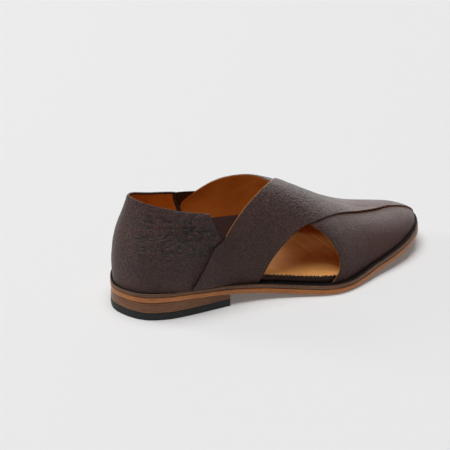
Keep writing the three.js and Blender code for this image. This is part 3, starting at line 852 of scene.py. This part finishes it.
def footbed_bite(k, loop):
    """Ragged upper edge of the footbed: notches in the rings above the lower rounding."""
    if k <= EDGE_STEPS:
        return loop
    notch = wander(loop * np.array([1, 1, 0]), NOTCH_SIZE)
    half = (loop - loop[::-1])[:, 1]
    inward = -np.sign(half) * np.minimum(NOTCH_DEPTH * notch**2, NOTCH_SHARE * np.abs(half))
    return loop + inward[:, None] * np.array([0, 1, 0])


# Thread

def stitches(name, centres, along, look, length, radius, lift):
    """Short rounded stitches lying along a line on the sole, each slightly sunk at its ends."""
    along = along / np.linalg.norm(along, axis=1)[:, None]
    normals = sole_normal(centres)
    normals = normals / np.linalg.norm(normals, axis=1)[:, None]
    across = np.cross(along, normals)
    turns = np.linspace(0, 2 * math.pi, STITCH_SIDES, endpoint=False)
    rings = []
    for place, size, rise in STITCH_SHAPE:
        middle = centres + along * place * length + normals * (lift + rise * radius)
        ring = [middle + radius * size * (math.cos(a) * across + math.sin(a) * normals) for a in turns]
        rings.append(np.stack(ring, 1))
    points = np.stack(rings, 1).reshape(-1, 3)
    last = (len(STITCH_SHAPE) - 1) * STITCH_SIDES
    one = []
    for k in range(0, last, STITCH_SIDES):
        for j in range(STITCH_SIDES):
            m = (j + 1) % STITCH_SIDES
            one.append((k + j, k + m, k + STITCH_SIDES + m, k + STITCH_SIDES + j))
    one.append(tuple(range(STITCH_SIDES))[::-1])
    one.append(tuple(range(last, last + STITCH_SIDES)))
    starts = range(0, len(points), last + STITCH_SIDES)
    faces = [tuple(base + corner for corner in face) for base in starts for face in one]
    make_piece(name, points, faces, [look], angle=STITCH_ANGLE)


def even_places(line, pitch):
    """Points and directions at even steps along a line of points."""
    steps = np.concatenate([[0], np.cumsum(np.linalg.norm(np.diff(line, axis=0), axis=1))])
    count = int(steps[-1] / pitch)
    at = (np.arange(count) + 0.5) * steps[-1] / count

    def point(place):
        return np.stack([np.interp(place, steps, line[:, k]) for k in range(3)], -1)

    return point(at), point(at + LINE_PROBE) - point(at - LINE_PROBE)


def outline_line(inset, height, toe_trim=0.0, from_feather=False):
    """Line round the sole at an inset from the welt's or feather's outline."""
    halves = inset_halves(inset, from_feather)
    x = station(halves, np.linspace(0, 1, LINE_COUNT))
    trimmed = trimmed_toe(x, toe_trim)
    lateral = sole_point(trimmed, side_at(halves["lateral"], x), height)
    medial = sole_point(trimmed, side_at(halves["medial"], x), height)
    return np.vstack([lateral, medial[::-1]])


# Materials

def srgb(red, green, blue):
    """Linear colour of an sRGB one from 0 to 255."""
    values = []
    for value in (red, green, blue):
        v = value / 255
        values.append(v / 12.92 if v <= 0.04045 else ((v + 0.055) / 1.055) ** 2.4)
    return (*values, 1.0)


class Look:
    """A node material built up from a Principled shader."""

    def __init__(self, name, **inputs):
        self.material = bpy.data.materials.new(name)
        self.material.use_nodes = True
        self.nodes = self.material.node_tree.nodes
        self.links = self.material.node_tree.links
        self.shader = self.nodes["Principled BSDF"]
        for key, value in inputs.items():
            self.shader.inputs[key.replace("_", " ")].default_value = value
        self.space = self.nodes.new("ShaderNodeTexCoord").outputs["Object"]

    def feed(self, socket, value):
        """Link a socket to another one, or give it a fixed value."""
        if isinstance(value, bpy.types.NodeSocket):
            self.links.new(value, socket)
        else:
            socket.default_value = value

    def node(self, kind, settings=None, **inputs):
        """A node with its settings and its inputs by name."""
        made = self.nodes.new(kind)
        for key, value in (settings or {}).items():
            setattr(made, key, value)
        for key, value in inputs.items():
            self.feed(made.inputs[key.replace("_", " ")], value)
        return made

    def placed(self, place, scale, **inputs):
        """Coordinates scaled each way."""
        return self.node("ShaderNodeMapping", Vector=place, Scale=scale, **inputs).outputs["Vector"]

    def noise(self, scale, detail=2.0, place=None, roughness=0.5):
        """Soft noise from 0 to 1, with a number of features to the metre."""
        return self.node("ShaderNodeTexNoise", Vector=place or self.space, Scale=scale, Detail=detail,
                         Roughness=roughness).outputs["Fac"]

    def cells(self, scale, place):
        """Distance to the edge of the nearest cell, with a number of cells to the metre."""
        return self.node("ShaderNodeTexVoronoi", {"feature": "DISTANCE_TO_EDGE"}, Vector=place,
                         Scale=scale).outputs["Distance"]

    def attribute(self, name):
        """Value stored on the mesh."""
        return self.node("ShaderNodeAttribute", {"attribute_name": name}).outputs["Fac"]

    def math(self, operation, a, b=0.0):
        """Result of a sum."""
        made = self.node("ShaderNodeMath", {"operation": operation})
        self.feed(made.inputs[0], a)
        self.feed(made.inputs[1], b)
        return made.outputs[0]

    def remap(self, value, low, high, to_low=0.0, to_high=1.0):
        """Smooth step of a value from one range to another."""
        made = self.node("ShaderNodeMapRange", {"interpolation_type": "SMOOTHSTEP"}, Value=value)
        for key, number in (("From Min", low), ("From Max", high), ("To Min", to_low), ("To Max", to_high)):
            made.inputs[key].default_value = number
        return made.outputs["Result"]

    def mix(self, share, a, b):
        """Colour on the way from a to b."""
        made = self.node("ShaderNodeMix", {"data_type": "RGBA"})
        for number, value in ((0, share), (6, a), (7, b)):
            self.feed(made.inputs[number], value)
        return made.outputs[2]

    def blend(self, a, a_range, b, b_range, a_share):
        """Sum from 0 to 1 of two noises, each stretched over its range, by the first one's share."""
        return self.math("ADD", self.remap(a, *a_range, 0.0, a_share),
                         self.remap(b, *b_range, 0.0, round(1 - a_share, 6)))

    def bump(self, height, distance, strength):
        """Normal bent by a height; the distance is in metres."""
        made = self.node("ShaderNodeBump", Height=height, Distance=distance, Strength=strength)
        return made.outputs["Normal"]

    def set(self, **values):
        """Link the shader's inputs by name and give the material."""
        for key, value in values.items():
            self.links.new(value, self.shader.inputs[key.replace("_", " ")])
        return self.material


def leather_look():
    """Milled leather: pebbles, pores, slanting creases in the folds with painted shade in their troughs and
    between the pebbles, and dark edges.
    """
    look = Look("milled_leather", Specular_IOR_Level=0.5)
    bend = look.node("ShaderNodeTexNoise", Vector=look.space, Scale=260.0, Detail=1.0).outputs["Color"]
    bent = look.node("ShaderNodeVectorMath", {"operation": "MULTIPLY_ADD"})
    for socket, value in zip(bent.inputs, (bend, (0.0016, 0.0016, 0.0016), look.space)):
        look.feed(socket, value)
    place = bent.outputs["Vector"]
    grain = look.attribute("grain")
    pebbles = look.remap(look.cells(470.0, place), 0.0, 0.3)
    small = look.remap(look.cells(1250.0, place), 0.0, 0.25)
    pores = look.noise(2600.0)
    slanted = look.placed(place, (70.0, 70.0, 260.0), Rotation=(0.0, math.radians(14), 0.0))
    waves = look.noise(1.0, 2.0, slanted)
    ridge = look.remap(look.math("ABSOLUTE", look.math("SUBTRACT", waves, 0.5)), 0.0, 0.085, 1.0, 0.0)
    ridge = look.math("MULTIPLY", ridge, look.attribute("folds"))
    height = look.math("ADD", look.math("MULTIPLY", pebbles, grain), look.math("MULTIPLY", small, 0.35))
    height = look.math("ADD", height, look.math("MULTIPLY", pores, 0.12))
    height = look.math("SUBTRACT", height, look.math("MULTIPLY", ridge, 2.4))
    patch = look.noise(38.0, 3.0)
    base = look.mix(look.remap(patch, 0.3, 0.7), srgb(68, 34, 25), srgb(82, 47, 37))
    # Painted shade: the creases between the pebbles are darkened where shade would fall
    painted_crease_shade = look.math("MULTIPLY", look.math("SUBTRACT", 1.0, pebbles), look.math("MULTIPLY", grain, 0.65))
    base = look.mix(painted_crease_shade, base, srgb(22, 8, 5))
    # Painted shade: the troughs of the slanting folds on the quarter are darkened near black
    base = look.mix(look.math("MULTIPLY", ridge, 0.9), base, srgb(14, 5, 4))
    rim = look.remap(look.attribute("edge"), 0.25, 1.1, 0.55, 0.0)
    base = look.mix(rim, base, srgb(20, 12, 11))
    rough = look.remap(look.math("ADD", look.math("MULTIPLY", pebbles, -0.35), patch), 0.0, 0.8, 0.38, 0.54)
    return look.set(Base_Color=base, Roughness=rough, Normal=look.bump(height, 0.0004, 0.9))


def elastic_look():
    """Ribbed elastic, whose ribs follow the run from the quarter to the strap, with painted shade in the rib
    troughs and painted light on the crests.
    """
    rib_pitch = 1.15
    look = Look("ribbed_elastic", Roughness=0.72, Specular_IOR_Level=0.3)
    wave = look.math("SINE", look.math("MULTIPLY", look.attribute("run"), 2 * math.pi / rib_pitch))
    rib = look.remap(wave, -1.0, 1.0)
    weft = look.noise(1.0, 2.0, look.placed(look.space, (900.0, 900.0, 2600.0)))
    # Painted shade and light: the ribs are darker in their troughs and lighter on their crests, following the
    # bump
    base = look.mix(rib, srgb(34, 14, 12), srgb(78, 42, 36))
    base = look.mix(look.remap(weft, 0.35, 0.75, 0.0, 0.45), base, srgb(38, 18, 15))
    height = look.math("ADD", rib, look.math("MULTIPLY", weft, 0.5))
    return look.set(Base_Color=base, Normal=look.bump(height, 0.00025, 0.7))


def lining_look(name, dark, light, roughness, grain, depth):
    """Plain lining leather or suede."""
    look = Look(name, Specular_IOR_Level=0.07)
    patch = look.noise(55.0, 3.0)
    fine = look.noise(grain, 4.0)
    base = look.mix(look.blend(patch, (0.25, 0.75), fine, (0.3, 0.7), 0.7), dark, light)
    rough = look.remap(fine, 0.2, 0.8, roughness - 0.06, roughness + 0.06)
    return look.set(Base_Color=base, Roughness=rough, Normal=look.bump(fine, depth, 0.6))


def edge_look(name, dark, light, roughness, streak=(160.0, 160.0, 2600.0)):
    """Burnished edge of stacked leather, with streaks along its layers."""
    look = Look(name, Specular_IOR_Level=0.45)
    fibres = look.noise(1.0, 4.0, look.placed(look.space, streak), 0.6)
    patch = look.noise(45.0)
    base = look.mix(look.blend(fibres, (0.3, 0.7), patch, (0.3, 0.7), 0.75), dark, light)
    rough = look.remap(fibres, 0.3, 0.7, roughness + 0.08, roughness - 0.05)
    return look.set(Base_Color=base, Roughness=rough, Normal=look.bump(fibres, 0.00008, 0.6))


def plain_look(name, dark, light, roughness, grain, shine=0.4):
    """Plain leather, rubber or thread with a fine grain."""
    look = Look(name, Specular_IOR_Level=shine)
    fine = look.noise(grain, 4.0)
    patch = look.noise(60.0)
    base = look.mix(look.blend(fine, (0.3, 0.7), patch, (0.3, 0.7), 0.6), dark, light)
    rough = look.remap(fine, 0.25, 0.75, roughness - 0.07, roughness + 0.07)
    return look.set(Base_Color=base, Roughness=rough, Normal=look.bump(fine, 0.0001, 0.5))


LEATHER_LOOK = leather_look()
LINING_LOOK = lining_look("smooth_lining", srgb(180, 112, 46), srgb(208, 142, 70), 0.55, 1800.0, 0.00006)
SUEDE_LOOK = lining_look("suede_lining", srgb(208, 132, 54), srgb(232, 156, 72), 0.85, 900.0, 0.00016)
FOOTBED_LOOK = lining_look("footbed_leather", srgb(218, 150, 82), srgb(236, 172, 102), 0.6, 1800.0, 0.00006)
ELASTIC_LOOK = elastic_look()
RAND_LOOK = plain_look("rand_leather", srgb(44, 24, 18), srgb(66, 38, 28), 0.55, 1200.0)
WELT_TOP_LOOK = plain_look("welt_top", srgb(8, 6, 6), srgb(14, 10, 9), 0.85, 1500.0, 0.12)
WELT_EDGE_LOOK = edge_look("welt_edge", srgb(62, 38, 24), srgb(128, 88, 60), 0.42)
OUTSOLE_EDGE_LOOK = edge_look("outsole_edge", srgb(146, 82, 36), srgb(202, 126, 60), 0.36)
OUTSOLE_BASE_LOOK = plain_look("outsole_base", srgb(150, 98, 60), srgb(176, 120, 78), 0.5, 700.0)
STACK_LOOK = edge_look("heel_stack", srgb(88, 52, 26), srgb(138, 88, 48), 0.4, (90.0, 90.0, 1700.0))
LIFT_LOOK = plain_look("lift_rubber", srgb(20, 22, 22), srgb(34, 37, 37), 0.62, 1400.0)
THREAD_LOOK = plain_look("dark_thread", srgb(34, 18, 12), srgb(56, 32, 22), 0.6, 2500.0)
WELT_THREAD_LOOK = plain_look("welt_thread", srgb(26, 18, 15), srgb(44, 32, 26), 0.6, 2500.0)


# Upper

strap_pieces("over_strap", OVER_STRAP, -1, over_level, vamp_lift, over_hem)
strap_pieces("under_strap", UNDER_STRAP, 1, under_level, no_lift, under_hem)
quarter_pieces()
gore_piece("gore_cloth_lateral", "gore_lateral", -1, OVER_STRAP)
gore_piece("gore_cloth_medial", "gore_medial", 1, UNDER_STRAP)


# Sole, with the material numbers of each layer's side bands and of its base or top

SIDES = [0] * (2 * EDGE_STEPS)
layer_piece("outsole_leather", slab_profile(0.0, 0.0, WELT_BASE - OUTSOLE_CLEARANCE, OUTSOLE_RADIUS),
            sole_point, [OUTSOLE_EDGE_LOOK, OUTSOLE_BASE_LOOK], "outsole",
            kinds=[1] + SIDES, crown=tread_crown)
layer_piece("welt_strip", slab_profile(0.0, WELT_BASE, WELT_TOP, WELT_RADIUS),
            sole_point, [WELT_EDGE_LOOK, WELT_TOP_LOOK], "welt", kinds=SIDES + [1])
layer_piece("rand_strip", slab_profile(FOOTBED_INSET - RAND_OVERHANG, WELT_TOP + LAYER_CLEARANCE,
                                       INSOLE_BASE - LAYER_CLEARANCE, RAND_RADIUS),
            sole_point, [RAND_LOOK], "rand", toe_trim=FOOTBED_TOE_TRIM, from_feather=True)
layer_piece("footbed", slab_profile(FOOTBED_INSET - FOOTBED_OVERHANG, INSOLE_BASE, INSOLE_TOP, FOOTBED_RADIUS),
            sole_point, [RAND_LOOK, FOOTBED_LOOK], "insole", kinds=SIDES + [1],
            toe_trim=FOOTBED_TOE_TRIM, count=FOOTBED_COUNT, bite=footbed_bite, from_feather=True)
layer_piece("heel_stack_leather", stack_profile(), under_seat, [STACK_LOOK], "heel_stack",
            end_x=HEEL_LENGTH, count=HEEL_COUNT, angle=STACK_ANGLE)
layer_piece("top_lift_rubber", slab_profile(STACK_INSET, 0.0, LIFT_THICKNESS, LIFT_RADIUS),
            level_floor, [LIFT_LOOK], "top_lift", end_x=HEEL_LENGTH, count=HEEL_COUNT)

# Stitches along the welt, and others across the footbed's edge

centres, ways = even_places(outline_line(WELT_STITCH_INSET, WELT_TOP), WELT_PITCH)
stitches("welt_stitching", centres, ways, WELT_THREAD_LOOK, length=2.3, radius=0.3, lift=-0.02)
footbed_line = outline_line(FOOTBED_INSET + FOOTBED_STITCH_INSET, INSOLE_TOP, FOOTBED_TOE_TRIM, True)
centres, ways = even_places(footbed_line, FOOTBED_PITCH)
stitches("footbed_stitching", centres, np.cross(sole_normal(centres), ways), THREAD_LOOK, length=2.8,
         radius=0.36, lift=0.04)


# Room: floor, lights and camera, in metres

FLOOR_SIZE = 9.0
FLOOR_GREY = 0.76
FLOOR_GLOW = 0.1
ROOM_GLOW = 0.07
floor_look = Look("pale_floor", Base_Color=(FLOOR_GREY, FLOOR_GREY, FLOOR_GREY, 1), Roughness=0.9,
                  Specular_IOR_Level=0.1, Emission_Color=(1.0, 1.0, 1.0, 1), Emission_Strength=FLOOR_GLOW)
floor_mesh = bpy.data.meshes.new("floor")
corners = [(x * FLOOR_SIZE, y * FLOOR_SIZE, 0) for x, y in ((-1, -1), (1, -1), (1, 1), (-1, 1))]
floor_mesh.from_pydata(corners, [], [(0, 1, 2, 3)])
floor_mesh.materials.append(floor_look.material)
add_object("floor", floor_mesh)

scene = bpy.context.scene
scene.view_settings.view_transform = "Standard"
scene.world = bpy.data.worlds.new("studio")
scene.world.use_nodes = True
background = scene.world.node_tree.nodes["Background"]
background.inputs["Color"].default_value = (1.0, 1.0, 1.0, 1.0)
background.inputs["Strength"].default_value = ROOM_GLOW

# The picture's right and its depth, along the floor
RIGHT = Vector((0.853, -0.522, 0))
DEPTH = Vector((0.522, 0.853, 0))
UP = Vector((0, 0, 1))
LIGHT_AIM = Vector((0, 0, 0.03))


def light(name, kind, right, depth, up, strength, **settings):
    """A light at a place given along the picture's right, its depth and up."""
    data = bpy.data.lights.new(name, kind)
    data.energy = strength
    for key, value in settings.items():
        setattr(data, key, value)
    made = add_object(name, data)
    made.location = RIGHT * right + DEPTH * depth + UP * up
    made.rotation_mode = "QUATERNION"
    made.rotation_quaternion = (made.location - LIGHT_AIM).to_track_quat("Z", "Y")
    return made


light("overhead", "SUN", -0.15, -0.05, 1.0, 2.3, angle=math.radians(44))
light("back_glow", "SUN", 0.2, 1.0, 0.52, 2.0, angle=math.radians(60)).visible_diffuse = False
light("front_fill", "SUN", -0.3, -0.5, 1.1, 0.3, angle=math.radians(20))
light("left_strip", "AREA", -2.4, 0.6, 0.7, 15.0, shape="RECTANGLE", size=0.8, size_y=1.6)

# Camera at the photograph's angle, with angles in degrees and lengths in millimetres
CAMERA_AZIMUTH = -31.5
CAMERA_ELEVATION = 25.0
CAMERA_ROLL = 2.5
CAMERA_DISTANCE = 1588.6
CAMERA_TARGET = (112.63, 22.86, 38.17)
CAMERA_LENS = 158.96
CAMERA_SENSOR = 36.0
turn = math.radians(CAMERA_AZIMUTH)
tip = math.radians(CAMERA_ELEVATION)
roll = math.radians(CAMERA_ROLL)
backward = Vector((math.sin(turn) * math.cos(tip), -math.cos(turn) * math.cos(tip), math.sin(tip)))
right = Vector((math.cos(turn), math.sin(turn), 0))
upward = backward.cross(right)
rolled_right = right * math.cos(roll) + upward * math.sin(roll)
rolled_up = upward * math.cos(roll) - right * math.sin(roll)
camera_data = bpy.data.cameras.new("camera")
camera_data.sensor_width = CAMERA_SENSOR
camera_data.lens = CAMERA_LENS
camera_data.clip_start = 0.05
camera_data.clip_end = 60.0
camera = add_object("camera", camera_data)
camera_place = Vector(to_row(CAMERA_TARGET)) + backward * (CAMERA_DISTANCE / 1000)
facing = Matrix((rolled_right, rolled_up, backward)).transposed().to_4x4()
camera.matrix_world = Matrix.Translation(camera_place) @ facing
scene.camera = camera
